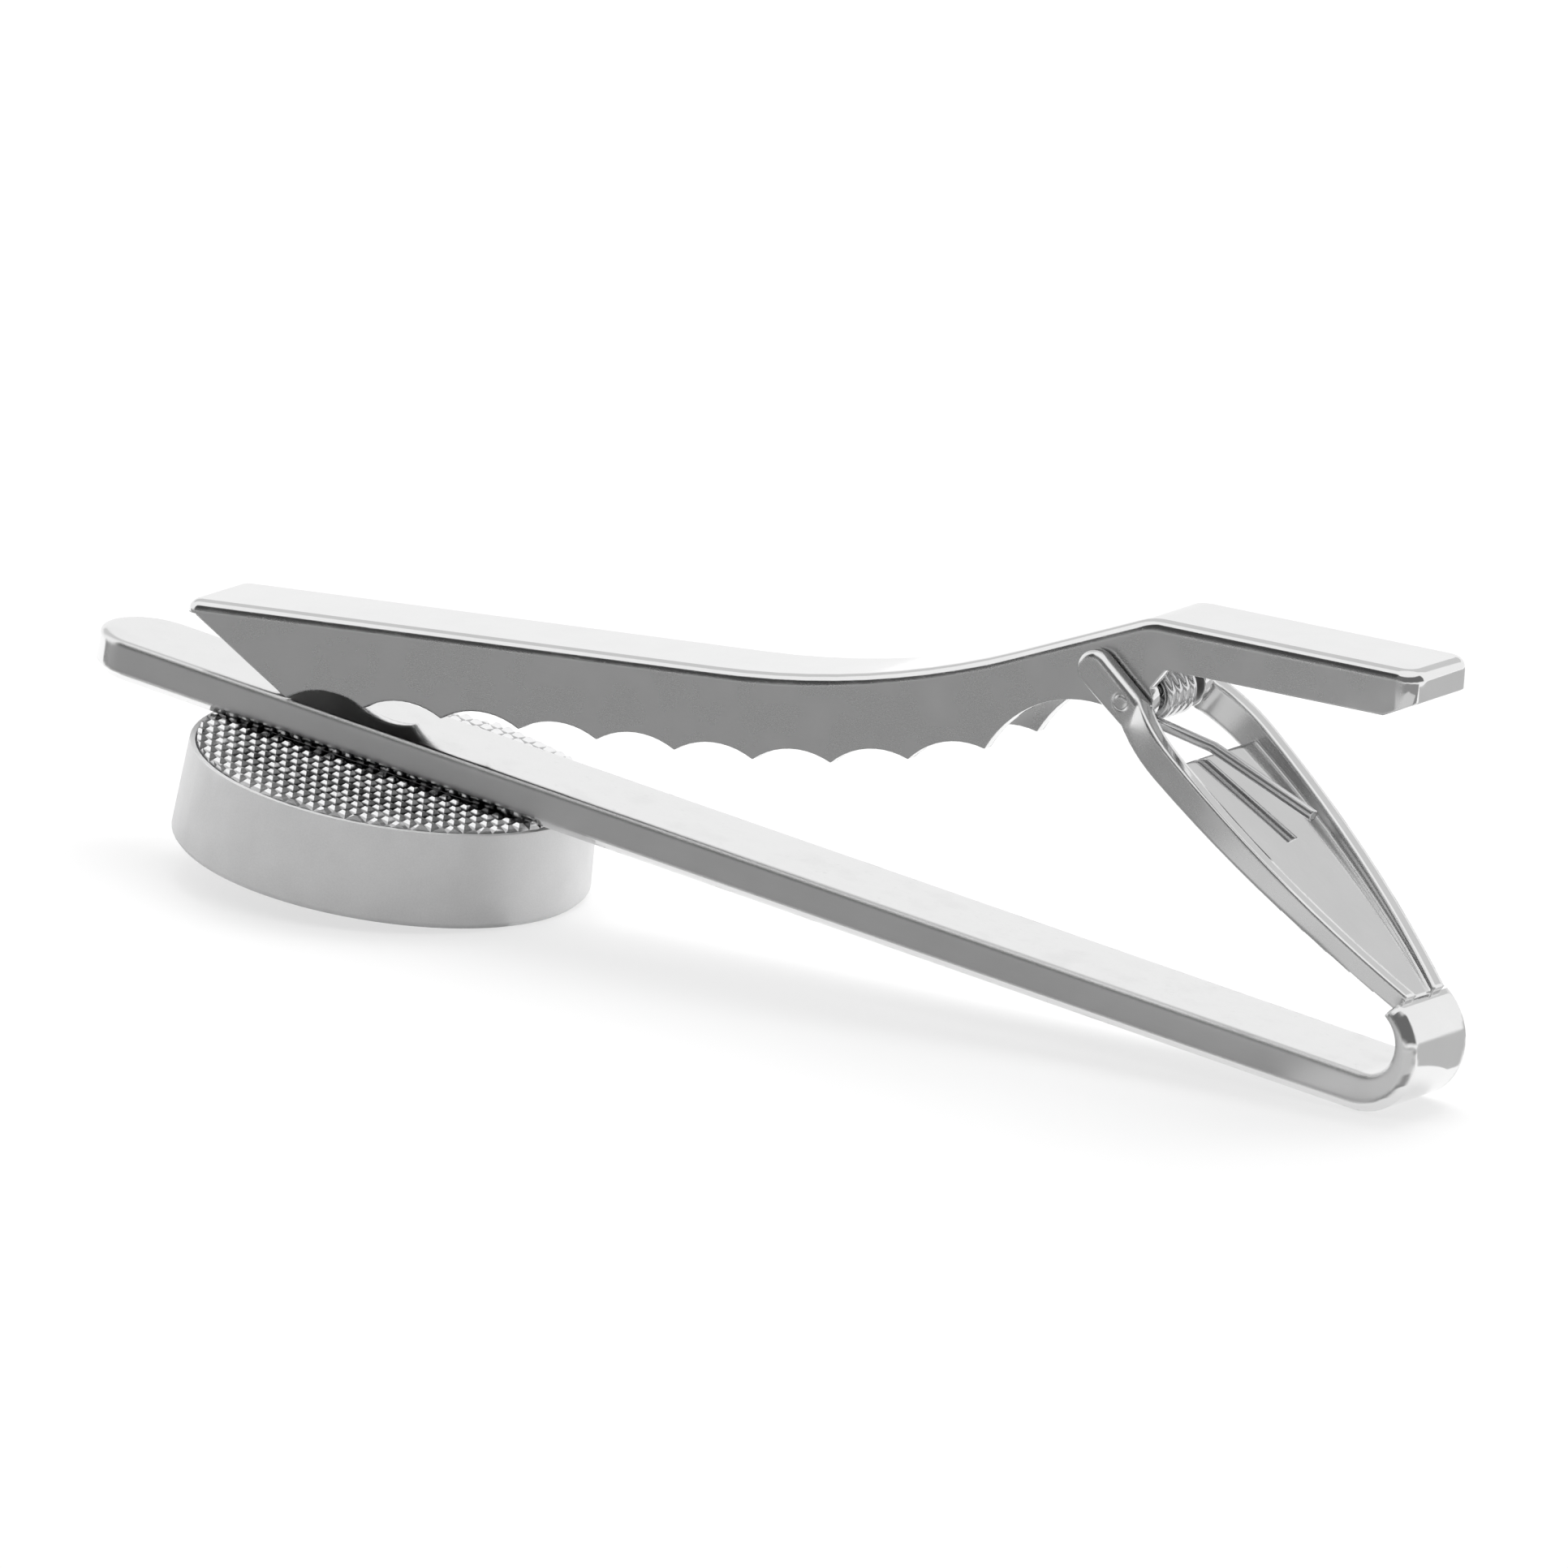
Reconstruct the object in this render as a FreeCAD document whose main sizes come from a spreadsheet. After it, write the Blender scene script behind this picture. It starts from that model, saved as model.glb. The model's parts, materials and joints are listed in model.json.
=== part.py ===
import FreeCAD, Part
import Sketcher
import math
import os

# Alligator tie clip, lying face down as it rests on a table: the drum's edge and the hook touch the table.
# The clip is drawn with its bar level, X along the bar from the free end, Z away from the bar's back,
# and is then tipped into its resting pose.

Vector = FreeCAD.Vector
Rotation = FreeCAD.Rotation
Placement = FreeCAD.Placement

sizes = {
    # front bar and its hook
    "bar_length": 58.4,
    "bar_width": 4.0,
    "bar_thickness": 1.5,
    "bar_bevel": 0.35,
    "bar_edge_radius": 0.15,
    "hook_outer_radius": 2.35,
    # hinge bracket, the return arm
    "arm_angle": 31.0,
    "arm_sheet": 0.6,
    "arm_fold_radius": 0.25,
    "foot_width": 2.5,
    "foot_height": 0.8,
    "shoulder_setback": 3.1,
    "shoulder_width": 6.8,
    "pinch_radius": 5.0,
    "pivot_reach": 15.0,
    "pivot_height": 0.75,
    "ear_tip": 1.6,
    "ear_height": 1.4,
    # jaw lever
    "lever_width": 4.0,
    "lever_sheet": 0.5,
    "lever_edge_radius": 0.45,
    "lever_ear_clearance": 0.12,
    "jaw_reach": 8.6,
    "jaw_height": 3.2,
    "jaw_gap": 0.05,
    "bend_share": 0.67,
    "bend_sag_share": 0.0709,
    "bend_radius_share": 1.119,
    "hump_ahead": 0.12,
    "hump_rise": 3.08,
    "hump_radius": 2.5,
    "nose_length": 4.5,
    "nose_corner_radius": 1.6,
    "wall_lead": 3.0,
    "tooth_run_share": 0.8122,
    "tooth_count": 9,
    "tooth_depth": 0.45,
    "arch_rise": 0.95,
    "arch_angle": 220.0,
    "lobe_radius": 0.95,
    "lobe_exit_angle": 40.0,
    "tail_slope": 6.6,
    "tail_length": 11.5,
    "tail_wall": 1.75,
    "tail_lead": 0.6,
    "tail_tip_length": 1.3,
    "tail_tip_rise": 0.6,
    "tail_corner_radius": 0.85,
    # hinge pin
    "pin_diameter": 0.6,
    "pin_clearance": 0.05,
    # torsion spring
    "spring_wire": 0.32,
    "spring_radius": 0.85,
    "spring_turns": 2,
    "spring_pitch": 0.795,
    "spring_seat_gap": 0.04,
    "spring_sample_share": 0.25,
    "web_leg_length": 9.1,
    "tail_leg_reach": 6.0,
    # badge drum, its knurled back and the solder under the bar
    "drum_centre": 13.0,
    "drum_front_diameter": 15.5,
    "drum_back_diameter": 15.1,
    "drum_height": 3.6,
    "drum_chamfer": 0.2,
    "badge_rim": 0.75,
    "badge_seat_depth": 0.6,
    "back_diameter": 14.6,
    "back_rise": 0.2,
    "back_seat": 0.5,
    "back_chamfer": 0.12,
    "back_clearance": 0.03,
    "pad_length": 9.0,
    "pad_width": 3.0,
    "pad_thickness": 0.08,
    # overrun of every cut past the face that it leaves, and the play when an edge is looked up
    "overrun": 2.0,
    "edge_play": 0.0001,
}

doc = FreeCAD.newDocument("tie_clip")
sheet = doc.addObject("Spreadsheet::Sheet", "sizes")
for row, (alias, number) in enumerate(sizes.items(), start=1):
    cell = f"B{row}"
    sheet.set(f"A{row}", alias)
    sheet.set(cell, str(number))
    sheet.setAlias(cell, alias)
doc.recompute()


def size(alias):
    return float(sheet.get(alias))


def bind(feature, **expressions):
    for name, expression in expressions.items():
        for alias in sorted(sizes, key=len, reverse=True):
            expression = expression.replace(f"<{alias}>", f"sizes.{alias}")
        feature.setExpression(name, expression)


def heading(degrees):
    return Vector(math.cos(math.radians(degrees)), math.sin(math.radians(degrees)), 0)


def left_of(direction):
    return Vector(-direction.y, direction.x, 0)


def line(start, end):
    return Part.LineSegment(start, end)


def bowed(start, end, rise):
    chord = end - start
    middle = (start + end) / 2 + left_of(chord).normalize() * rise
    return Part.Arc(start, middle, end)


def sketch_on(body, name, role, outline, lift=None):
    sketch = body.newObject("Sketcher::SketchObject", name)
    plane = next(item for item in body.Origin.OriginFeatures if item.Role == role)
    sketch.AttachmentSupport = [(plane, "")]
    sketch.MapMode = "FlatFace"
    if lift:
        bind(sketch, **{".AttachmentOffset.Base.z": lift})
    sketch.addGeometry(outline, False)
    return sketch


def pad_across(body, name, sketch, width):
    pad = body.newObject("PartDesign::Pad", name)
    pad.Profile = sketch
    pad.SideType = "Symmetric"
    bind(pad, Length=width)
    doc.recompute()
    return pad


def pocket(body, name, sketch, width=None, upward=False):
    before = body.Tip.Shape.Volume
    cut = body.newObject("PartDesign::Pocket", name)
    cut.Profile = sketch
    if width:
        cut.SideType = "Symmetric"
        bind(cut, Length=width)
    elif upward:
        cut.Reversed = True
        cut.Type = "ThroughAll"
    else:
        cut.SideType = "Symmetric"
        cut.Type = "ThroughAll"
    doc.recompute()
    if not cut.Shape.Volume < before:
        raise RuntimeError(f"{name} cuts nothing")
    return cut


def dress(body, kind, name, edge_test, **expressions):
    base = body.Tip
    edges = [f"Edge{i}" for i, edge in enumerate(base.Shape.Edges, start=1) if edge_test(edge)]
    feature = body.newObject(f"PartDesign::{kind}", name)
    feature.Base = (base, edges)
    bind(feature, **expressions)
    doc.recompute()
    return feature


def drill(body, name, centre, radius):
    circle = Part.Circle(centre, Vector(0, 0, 1), size("pin_diameter") / 2)
    sketch = sketch_on(body, name + "_side", "XZ_Plane", [circle])
    held = sketch.addConstraint(Sketcher.Constraint("Radius", 0, size("pin_diameter") / 2))
    bind(sketch, **{f"Constraints[{held}]": radius})
    return pocket(body, name, sketch)


def new_body(name):
    body = doc.addObject("PartDesign::Body", name)
    body.Label = name
    return body


def near(value, target):
    return math.isclose(value, target, abs_tol=size("edge_play"))


# The arm's line: it leaves the hook's inside and climbs back over the bar.
arm_along = heading(180 - size("arm_angle"))
arm_out = heading(90 - size("arm_angle"))
hook_outer_x = size("bar_length") - size("hook_outer_radius")
hook_outer_z = size("hook_outer_radius") - size("bar_thickness")
hook_outer_centre = Vector(hook_outer_x, hook_outer_z, 0)
hook_thinning = (size("bar_thickness") + arm_out.y * size("arm_sheet")) / (1 + arm_out.y)
hook_inner_radius = size("hook_outer_radius") - hook_thinning
hook_inner_centre = hook_outer_centre + arm_out * (hook_thinning - size("arm_sheet"))
arm_foot = hook_inner_centre + arm_out * hook_inner_radius
shoulder_reach = size("pivot_reach") - size("shoulder_setback")
pivot = arm_foot + arm_along * size("pivot_reach") + arm_out * size("pivot_height")

# Resting pose: the drum's rounded front edge and the hook's round underside both touch the table.
drum_drop = size("pad_thickness") + size("back_rise") + size("drum_height")
rest_rise = size("hook_outer_radius") + drum_drop
drum_edge_x = size("drum_centre") + size("drum_front_diameter") / 2 - size("drum_chamfer")
rest_run = hook_outer_x - drum_edge_x
rest_reach = math.hypot(rest_rise, rest_run)
rest_tilt = math.acos(size("hook_outer_radius") / rest_reach) - math.atan2(rest_run, rest_rise)
tip = Rotation(Vector(0, 1, 0), math.degrees(rest_tilt))
hook_rest = tip.multVec(Vector(hook_outer_x, 0, hook_outer_z))
left_edge = tip.multVec(Vector(0, 0, size("bar_bevel") - size("bar_thickness")))
rest_middle = (left_edge.x + hook_rest.x + size("hook_outer_radius")) / 2
resting = Placement(Vector(-rest_middle, 0, size("hook_outer_radius") - hook_rest.z), tip)


def build_front_bar():
    body = new_body("front_bar")
    half = size("bar_width") / 2
    overrun = size("overrun")
    thickness = size("bar_thickness")
    back_start = Vector(0, 0, 0)
    back_end = Vector(hook_inner_centre.x, 0, 0)
    inner_middle = hook_inner_centre + heading(-size("arm_angle") / 2) * hook_inner_radius
    outer_end = hook_outer_centre + arm_out * size("hook_outer_radius")
    outer_middle = hook_outer_centre + heading(-size("arm_angle") / 2) * size("hook_outer_radius")
    front_end = Vector(hook_outer_x, -thickness, 0)
    front_start = Vector(0, -thickness, 0)
    outline = [
        line(back_start, back_end),
        Part.Arc(back_end, inner_middle, arm_foot),
        line(arm_foot, outer_end),
        Part.Arc(outer_end, outer_middle, front_end),
        line(front_end, front_start),
        line(front_start, back_start),
    ]
    pad_across(body, "bar_strip", sketch_on(body, "bar_side", "XZ_Plane", outline), "<bar_width>")

    left = Vector(half, half, 0)
    right = Vector(half, -half, 0)
    far_left = Vector(half, half + overrun, 0)
    far_right = Vector(half, -half - overrun, 0)
    corners = [
        Part.Arc(left, Vector(0, 0, 0), right),
        line(right, far_right),
        line(far_right, Vector(-overrun, -half - overrun, 0)),
        line(Vector(-overrun, -half - overrun, 0), Vector(-overrun, half + overrun, 0)),
        line(Vector(-overrun, half + overrun, 0), far_left),
        line(far_left, left),
    ]
    pocket(body, "bar_end", sketch_on(body, "bar_end_plan", "XY_Plane", corners))

    def on_front(edge):
        box = edge.BoundBox
        return near(box.ZMin, -thickness) and near(box.ZMax, -thickness) and box.XMax < front_end.x + half \
            and not near(box.XLength, 0)

    def on_back(edge):
        box = edge.BoundBox
        return near(box.ZMin, 0) and near(box.ZMax, 0) and not near(box.XLength, 0)

    dress(body, "Chamfer", "bar_bevels", on_front, Size="<bar_bevel>")
    dress(body, "Fillet", "bar_back_edges", on_back, Radius="<bar_edge_radius>")
    body.Placement = resting
    return body


def build_hinge_bracket():
    body = new_body("hinge_bracket")
    overrun = size("overrun")
    pivot_reach = size("pivot_reach")
    tip_reach = pivot_reach + size("ear_tip")
    ear_half = size("lever_width") / 2 + size("lever_ear_clearance") + size("arm_sheet")
    foot_half = size("foot_width") / 2
    shoulder_half = size("shoulder_width") / 2
    shoulder = shoulder_reach
    ear_low = Vector(tip_reach, 0, 0)
    ear_high = Vector(tip_reach, size("ear_height"), 0)
    ear_end = Vector(tip_reach + size("ear_height") / 2, size("ear_height") / 2, 0)
    foot_high = Vector(0, size("foot_height"), 0)
    outline = [
        line(Vector(0, 0, 0), ear_low),
        Part.Arc(ear_low, ear_end, ear_high),
        line(ear_high, foot_high),
        line(foot_high, Vector(0, 0, 0)),
    ]
    pad_across(body, "arm_block", sketch_on(body, "arm_side", "XZ_Plane", outline), "<shoulder_width>")

    # The arm's edges flare in one arc to the shoulders and pinch in by another to the straight ears.
    flare_rise = shoulder_half - foot_half
    flare_radius = (shoulder ** 2 + flare_rise ** 2) / (2 * flare_rise)
    pinch_radius = size("pinch_radius")
    end = tip_reach + size("ear_height") / 2 + overrun

    def arm_edge(inset, side):
        def flared(along):
            drop = flare_radius - math.sqrt((flare_radius - inset) ** 2 - (shoulder - along) ** 2)
            return Vector(along, side * (shoulder_half - drop), 0)

        pinch_drop = shoulder_half - ear_half + inset
        pinch_run = math.sqrt((pinch_radius - inset) ** 2 - (pinch_radius - pinch_drop) ** 2)

        def pinched(share):
            along = pinch_run * share
            drop = pinch_radius - math.sqrt((pinch_radius - inset) ** 2 - along ** 2)
            return Vector(shoulder + along, side * (shoulder_half - drop), 0)

        foot, crest, root = flared(0), flared(shoulder), pinched(1)
        ear = Vector(end, root.y, 0)
        flare = Part.Arc(foot, flared(shoulder / 2), crest)
        fork = [Part.Arc(crest, pinched(1 / 2), root), line(root, ear)]
        return foot, crest, ear, flare, fork

    for name, side in (("near_flare", -1), ("far_flare", 1)):
        foot, crest, ear, flare, fork = arm_edge(0, side)
        clear = side * (shoulder_half + overrun)
        waste = fork + [
            flare,
            line(ear, Vector(end, clear, 0)),
            line(Vector(end, clear, 0), Vector(-overrun, clear, 0)),
            line(Vector(-overrun, clear, 0), Vector(-overrun, foot.y, 0)),
            line(Vector(-overrun, foot.y, 0), foot),
        ]
        pocket(body, name, sketch_on(body, name + "_plan", "XY_Plane", waste))

    def on_fold(edge):
        box = edge.BoundBox
        along_arm = box.XLength > size("arm_fold_radius") and abs(box.YMin + box.YMax) / 2 > foot_half / 2
        return near(box.ZMin, 0) and near(box.ZMax, 0) and along_arm

    dress(body, "Fillet", "arm_folds", on_fold, Radius="<arm_fold_radius>")

    near_foot, near_crest, near_ear, near_flare, near_fork = arm_edge(size("arm_sheet"), -1)
    far_foot, far_crest, far_ear, far_flare, far_fork = arm_edge(size("arm_sheet"), 1)
    fork = near_fork + far_fork + [line(near_ear, far_ear)]
    channel = fork + [
        near_flare,
        far_flare,
        line(far_foot, Vector(-overrun, far_foot.y, 0)),
        line(Vector(-overrun, far_foot.y, 0), Vector(-overrun, near_foot.y, 0)),
        line(Vector(-overrun, near_foot.y, 0), near_foot),
    ]
    channel_sketch = sketch_on(body, "channel_plan", "XY_Plane", channel, "<arm_sheet>")
    pocket(body, "arm_channel", channel_sketch, upward=True)

    # The web stops at the shoulders, so the ears stand as a fork.
    fork_outline = fork + [line(far_crest, near_crest)]
    pocket(body, "arm_fork", sketch_on(body, "fork_plan", "XY_Plane", fork_outline))

    drill(body, "ear_holes", Vector(pivot_reach, size("pivot_height"), 0), "<pin_diameter> / 2")

    along = Vector(arm_along.x, 0, arm_along.y)
    out = Vector(arm_out.x, 0, arm_out.y)
    standing = Rotation(along, out.cross(along), out, "XYZ")
    body.Placement = resting * Placement(Vector(arm_foot.x, 0, arm_foot.y), standing)
    return body


# The lever's top line: jaw, neck and tail, with a long bend between the first two and a hump over the pivot.
jaw_top = Vector(size("jaw_reach"), size("jaw_height"), 0)
hump_corner = pivot + Vector(size("hump_ahead"), size("hump_rise"), 0)
chord = hump_corner - jaw_top
bend_radius = chord.Length * size("bend_radius_share")
bend_corner = jaw_top + chord * size("bend_share") - left_of(chord) * size("bend_sag_share")
jaw_way = (bend_corner - jaw_top).normalize()
neck_way = (hump_corner - bend_corner).normalize()
tail_way = heading(size("tail_slope"))
jaw_wall = (size("jaw_height") - size("jaw_gap")) / jaw_way.x
jaw_foot = jaw_top - left_of(jaw_way) * jaw_wall
tail_end = hump_corner + tail_way * size("tail_length")
nose_end = jaw_top - jaw_way * size("nose_length")


def moved_corner(corner, way_in, way_out, drop):
    both = left_of(way_in) + left_of(way_out)
    return corner - both * (drop / (1 + way_in.dot(way_out)))


def rounded_corner(corner, way_in, way_out, radius):
    turn = way_in.getAngle(way_out)
    tangent = radius * math.tan(turn / 2)
    inward = (way_out - way_in).normalize()
    middle = corner + inward * (radius / math.cos(turn / 2) - radius)
    return corner - way_in * tangent, middle, corner + way_out * tangent


# Edges of the top line, lowered by a drop.
def lever_line(drop, start, end):
    bend = moved_corner(bend_corner, jaw_way, neck_way, drop)
    hump = moved_corner(hump_corner, neck_way, tail_way, drop)
    bend_in, bend_middle, bend_out = rounded_corner(bend, jaw_way, neck_way, bend_radius + drop)
    hump_in, hump_middle, hump_out = rounded_corner(hump, neck_way, tail_way, size("hump_radius") - drop)
    return [
        line(start, bend_in),
        Part.Arc(bend_in, bend_middle, bend_out),
        line(bend_out, hump_in),
        Part.Arc(hump_in, hump_middle, hump_out),
        line(hump_out, end),
    ]


# Point at a distance along the line of tooth tips, from the jaw's foot.
def tooth_tip(distance):
    radius = bend_radius + jaw_wall
    corner = moved_corner(bend_corner, jaw_way, neck_way, jaw_wall)
    bend_in, bend_middle, bend_out = rounded_corner(corner, jaw_way, neck_way, radius)
    straight = (bend_in - jaw_foot).Length
    round_length = radius * jaw_way.getAngle(neck_way)
    if distance <= straight:
        return jaw_foot + jaw_way * distance
    if distance <= straight + round_length:
        swing = (distance - straight) / radius
        spoke = left_of(jaw_way) * (1 - math.cos(swing)) + jaw_way * math.sin(swing)
        return bend_in + spoke * radius
    return bend_out + neck_way * (distance - straight - round_length)


def build_jaw_lever():
    body = new_body("jaw_lever")
    overrun = size("overrun")
    plate = size("lever_sheet")
    teeth = round(size("tooth_count"))
    tooth_run = chord.Length * size("tooth_run_share")
    tips = [tooth_tip(tooth_run * i / teeth) for i in range(teeth + 1)]
    lobe_in = pivot + heading(size("arch_angle")) * size("lobe_radius")
    lobe_low = pivot + heading(270) * size("lobe_radius")
    lobe_out = pivot + heading(size("lobe_exit_angle")) * size("lobe_radius")
    hump_below = moved_corner(hump_corner, neck_way, tail_way, size("tail_wall"))
    tail_below = hump_below + tail_way * size("tail_lead")
    tail_low_end = tail_end - left_of(tail_way) * size("tail_wall") - tail_way * size("tail_tip_length")
    tail_tip = tail_end - left_of(tail_way) * (size("tail_wall") - size("tail_tip_rise"))
    nose_under = nose_end - left_of(jaw_way) * plate
    wall_front = jaw_top - jaw_way * size("wall_lead") - left_of(jaw_way) * plate
    outline = [bowed(start, end, size("tooth_depth")) for start, end in zip(tips, tips[1:])]
    outline += [
        bowed(tips[-1], lobe_in, size("arch_rise")),
        Part.Arc(lobe_in, lobe_low, lobe_out),
        line(lobe_out, tail_below),
        line(tail_below, tail_low_end),
        line(tail_low_end, tail_tip),
        line(tail_tip, tail_end),
        line(nose_end, nose_under),
        line(nose_under, wall_front),
        line(wall_front, jaw_foot),
    ]
    outline += lever_line(0, nose_end, tail_end)
    pad_across(body, "lever_block", sketch_on(body, "lever_side", "XZ_Plane", outline), "<lever_width>")

    def corner_at(middle):
        half = size("lever_width") / 2

        def at_middle(edge):
            across = edge.BoundBox
            centre = edge.CenterOfMass
            flat = near(across.YLength, 0) and near(abs(across.YMin), half)
            return flat and near(centre.x, middle.x) and near(centre.z, middle.y)

        return at_middle

    nose_middle = (nose_end + nose_under) / 2
    tail_middle = (tail_tip + tail_end) / 2
    dress(body, "Fillet", "nose_corners", corner_at(nose_middle), Radius="<nose_corner_radius>")
    dress(body, "Fillet", "tail_corners", corner_at(tail_middle), Radius="<tail_corner_radius>")

    def on_top_rim(edge):
        ends = [Vector(corner.X, corner.Z, 0) - hump_corner for corner in edge.Vertexes]
        on_neck = all(near(end.dot(left_of(neck_way)), 0) for end in ends)
        return on_neck and near(edge.BoundBox.YLength, 0)

    dress(body, "Fillet", "lever_top_edges", on_top_rim, Radius="<lever_edge_radius>")

    open_start = nose_under - jaw_way * overrun
    open_end = tail_end - left_of(tail_way) * plate - tail_way * plate
    open_low = jaw_foot.y - overrun
    low_end = Vector(open_end.x, open_low, 0)
    low_start = Vector(open_start.x, open_low, 0)
    hollow = lever_line(plate, open_start, open_end)
    hollow += [line(open_end, low_end), line(low_end, low_start), line(low_start, open_start)]
    hollow_width = "<lever_width> - 2 * <lever_sheet>"
    pocket(body, "lever_channel", sketch_on(body, "channel_side", "XZ_Plane", hollow), hollow_width)

    drill(body, "pivot_holes", pivot, "<pin_diameter> / 2 + <pin_clearance>")
    body.Placement = resting
    return body


def build_hinge_pin():
    pin = doc.addObject("Part::Cylinder", "hinge_pin")
    pin.Label = "hinge_pin"
    ear_width = "<lever_width> + 2 * (<lever_ear_clearance> + <arm_sheet>)"
    bind(pin, Radius="<pin_diameter> / 2", Height=ear_width)
    doc.recompute()
    across = Rotation(Vector(1, 0, 0), -90)
    pin.Placement = resting * Placement(Vector(pivot.x, -pin.Height.Value / 2, pivot.y), across)
    return pin


# Two tangent arcs from start to end, leaving and arriving along the given ways.
def biarc(start, start_way, end, end_way):
    span = end - start
    both = start_way + end_way
    spread = 2 * (1 - start_way.dot(end_way))
    reach = (math.sqrt(span.dot(both) ** 2 + spread * span.dot(span)) - span.dot(both)) / spread
    joint = (start + end + (start_way - end_way) * reach) / 2

    def arc(first, corner, last):
        chord_middle = (first + last) / 2
        half_turn = (corner - first).getAngle(last - first)
        bulge = (last - first).Length / 2 * math.tan(half_turn / 2)
        return Part.Arc(first, chord_middle + (corner - chord_middle).normalize() * bulge, last)

    return [arc(start, start + start_way * reach, joint), arc(joint, end - end_way * reach, end)]


def build_torsion_spring():
    wire = size("spring_wire")
    radius = size("spring_radius")
    seat = wire / 2 + size("spring_seat_gap")

    # The tail's leg runs from the plate's underside over the top of the coil.
    tail_seat = moved_corner(hump_corner, neck_way, tail_way, size("lever_sheet") + seat)
    tail_tip = tail_seat + tail_way * size("tail_leg_reach")
    to_tail = tail_tip - pivot
    first_angle = math.atan2(to_tail.y, to_tail.x) + math.acos(radius / to_tail.Length)

    # The web's leg leaves the underside of the coil, bears on the web's end and stands off beyond it.
    web_edge = arm_foot + arm_along * shoulder_reach + arm_out * size("arm_sheet")
    to_web = web_edge - pivot
    last_angle = math.atan2(to_web.y, to_web.x) - math.acos((radius + seat) / to_web.Length)
    turns = round(size("spring_turns"))
    turn = 2 * math.pi * turns + (last_angle - first_angle) % (2 * math.pi)
    coil_half = size("spring_pitch") * turn / (4 * math.pi)

    def coil_point(angle, share):
        spoke = Vector(math.cos(angle), 0, math.sin(angle)) * radius
        return Vector(pivot.x, coil_half * (1 - 2 * share), pivot.y) + spoke

    def coil_way(angle, climb):
        return Vector(-math.sin(angle) * radius, climb, math.cos(angle) * radius).normalize()

    steps = 4 * turns + 3
    climb = -2 * coil_half / turn
    angles = [first_angle + turn * i / steps for i in range(steps + 1)]
    points = [coil_point(angle, i / steps) for i, angle in enumerate(angles)]
    ways = [coil_way(angle, climb if 0 < i < steps else 0) for i, angle in enumerate(angles)]
    route = [Part.LineSegment(Vector(tail_tip.x, coil_half, tail_tip.y), points[0])]
    for i in range(steps):
        route += biarc(points[i], ways[i], points[i + 1], ways[i + 1])
    route.append(Part.LineSegment(points[-1], points[-1] + ways[-1] * size("web_leg_length")))
    path = Part.Wire([piece.toShape() for piece in route])
    start = path.Edges[0].valueAt(path.Edges[0].FirstParameter)
    section = Part.Wire(Part.makeCircle(wire / 2, start, points[0] - start))
    shell = Part.BRepOffsetAPI.MakePipeShell(path)
    shell.add(section)
    shell.build()
    shell.makeSolid()
    spring = doc.addObject("Part::Feature", "torsion_spring")
    spring.Label = "torsion_spring"
    spring.Shape = shell.shape()
    spring.Placement = resting

    sample_step = wire * size("spring_sample_share")
    beads = path.discretize(Distance=sample_step)
    skip = int(math.pi * radius / sample_step)
    gap = min((a - b).Length for i, a in enumerate(beads) for b in beads[i + skip:]) - wire
    print(f"torsion_spring: least gap to itself {gap:.3f} mm")
    swept = math.pi * wire ** 2 / 4 * path.Length
    print(f"torsion_spring: volume {spring.Shape.Volume:.3f}, section times length {swept:.3f} mm3")
    return spring


def rim_of(shape, height):
    rims = []
    for i, edge in enumerate(shape.Edges, start=1):
        circle = isinstance(edge.Curve, Part.Circle)
        if circle and near(edge.BoundBox.ZMin, height) and near(edge.BoundBox.ZMax, height):
            rims.append((edge.Curve.Radius, i))
    return max(rims)[1]


def build_badge_drum():
    cone = doc.addObject("Part::Cone", "drum_cone")
    bind(cone, Radius1="<drum_front_diameter> / 2", Radius2="<drum_back_diameter> / 2")
    bind(cone, Height="<drum_height>")
    recess = doc.addObject("Part::Cylinder", "drum_recess")
    bind(recess, Radius="<back_diameter> / 2 + <back_clearance>", Height="<back_seat> + <overrun>")
    bind(recess, **{".Placement.Base.z": "<drum_height> - <back_seat>"})
    cup = doc.addObject("Part::Cut", "drum_cup")
    cup.Base = cone
    cup.Tool = recess

    # The drum's front is a shallow round seat for a badge, inside a narrow rim.
    seat = doc.addObject("Part::Cylinder", "badge_seat")
    bind(seat, Radius="<drum_front_diameter> / 2 - <badge_rim>", Height="<badge_seat_depth> + <overrun>")
    bind(seat, **{".Placement.Base.z": "-<overrun>"})
    bezel = doc.addObject("Part::Cut", "drum_bezel")
    bezel.Base = cup
    bezel.Tool = seat
    doc.recompute()
    drum = doc.addObject("Part::Chamfer", "badge_drum")
    drum.Label = "badge_drum"
    drum.Base = bezel
    chamfer = size("drum_chamfer")
    drum.Edges = [(rim_of(bezel.Shape, 0), chamfer, chamfer)]
    doc.recompute()
    drum_bottom = -size("bar_thickness") - drum_drop
    drum.Placement = resting * Placement(Vector(size("drum_centre"), 0, drum_bottom), Rotation())
    return drum


def build_knurled_back():
    disc = doc.addObject("Part::Cylinder", "back_disc")
    bind(disc, Radius="<back_diameter> / 2", Height="<back_seat> + <back_rise>")
    doc.recompute()
    back = doc.addObject("Part::Chamfer", "knurled_back")
    back.Label = "knurled_back"
    back.Base = disc
    chamfer = size("back_chamfer")
    back.Edges = [(rim_of(disc.Shape, disc.Height.Value), chamfer, chamfer)]
    doc.recompute()
    back_bottom = -size("bar_thickness") - size("pad_thickness") - disc.Height.Value
    back.Placement = resting * Placement(Vector(size("drum_centre"), 0, back_bottom), Rotation())
    return back


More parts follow.
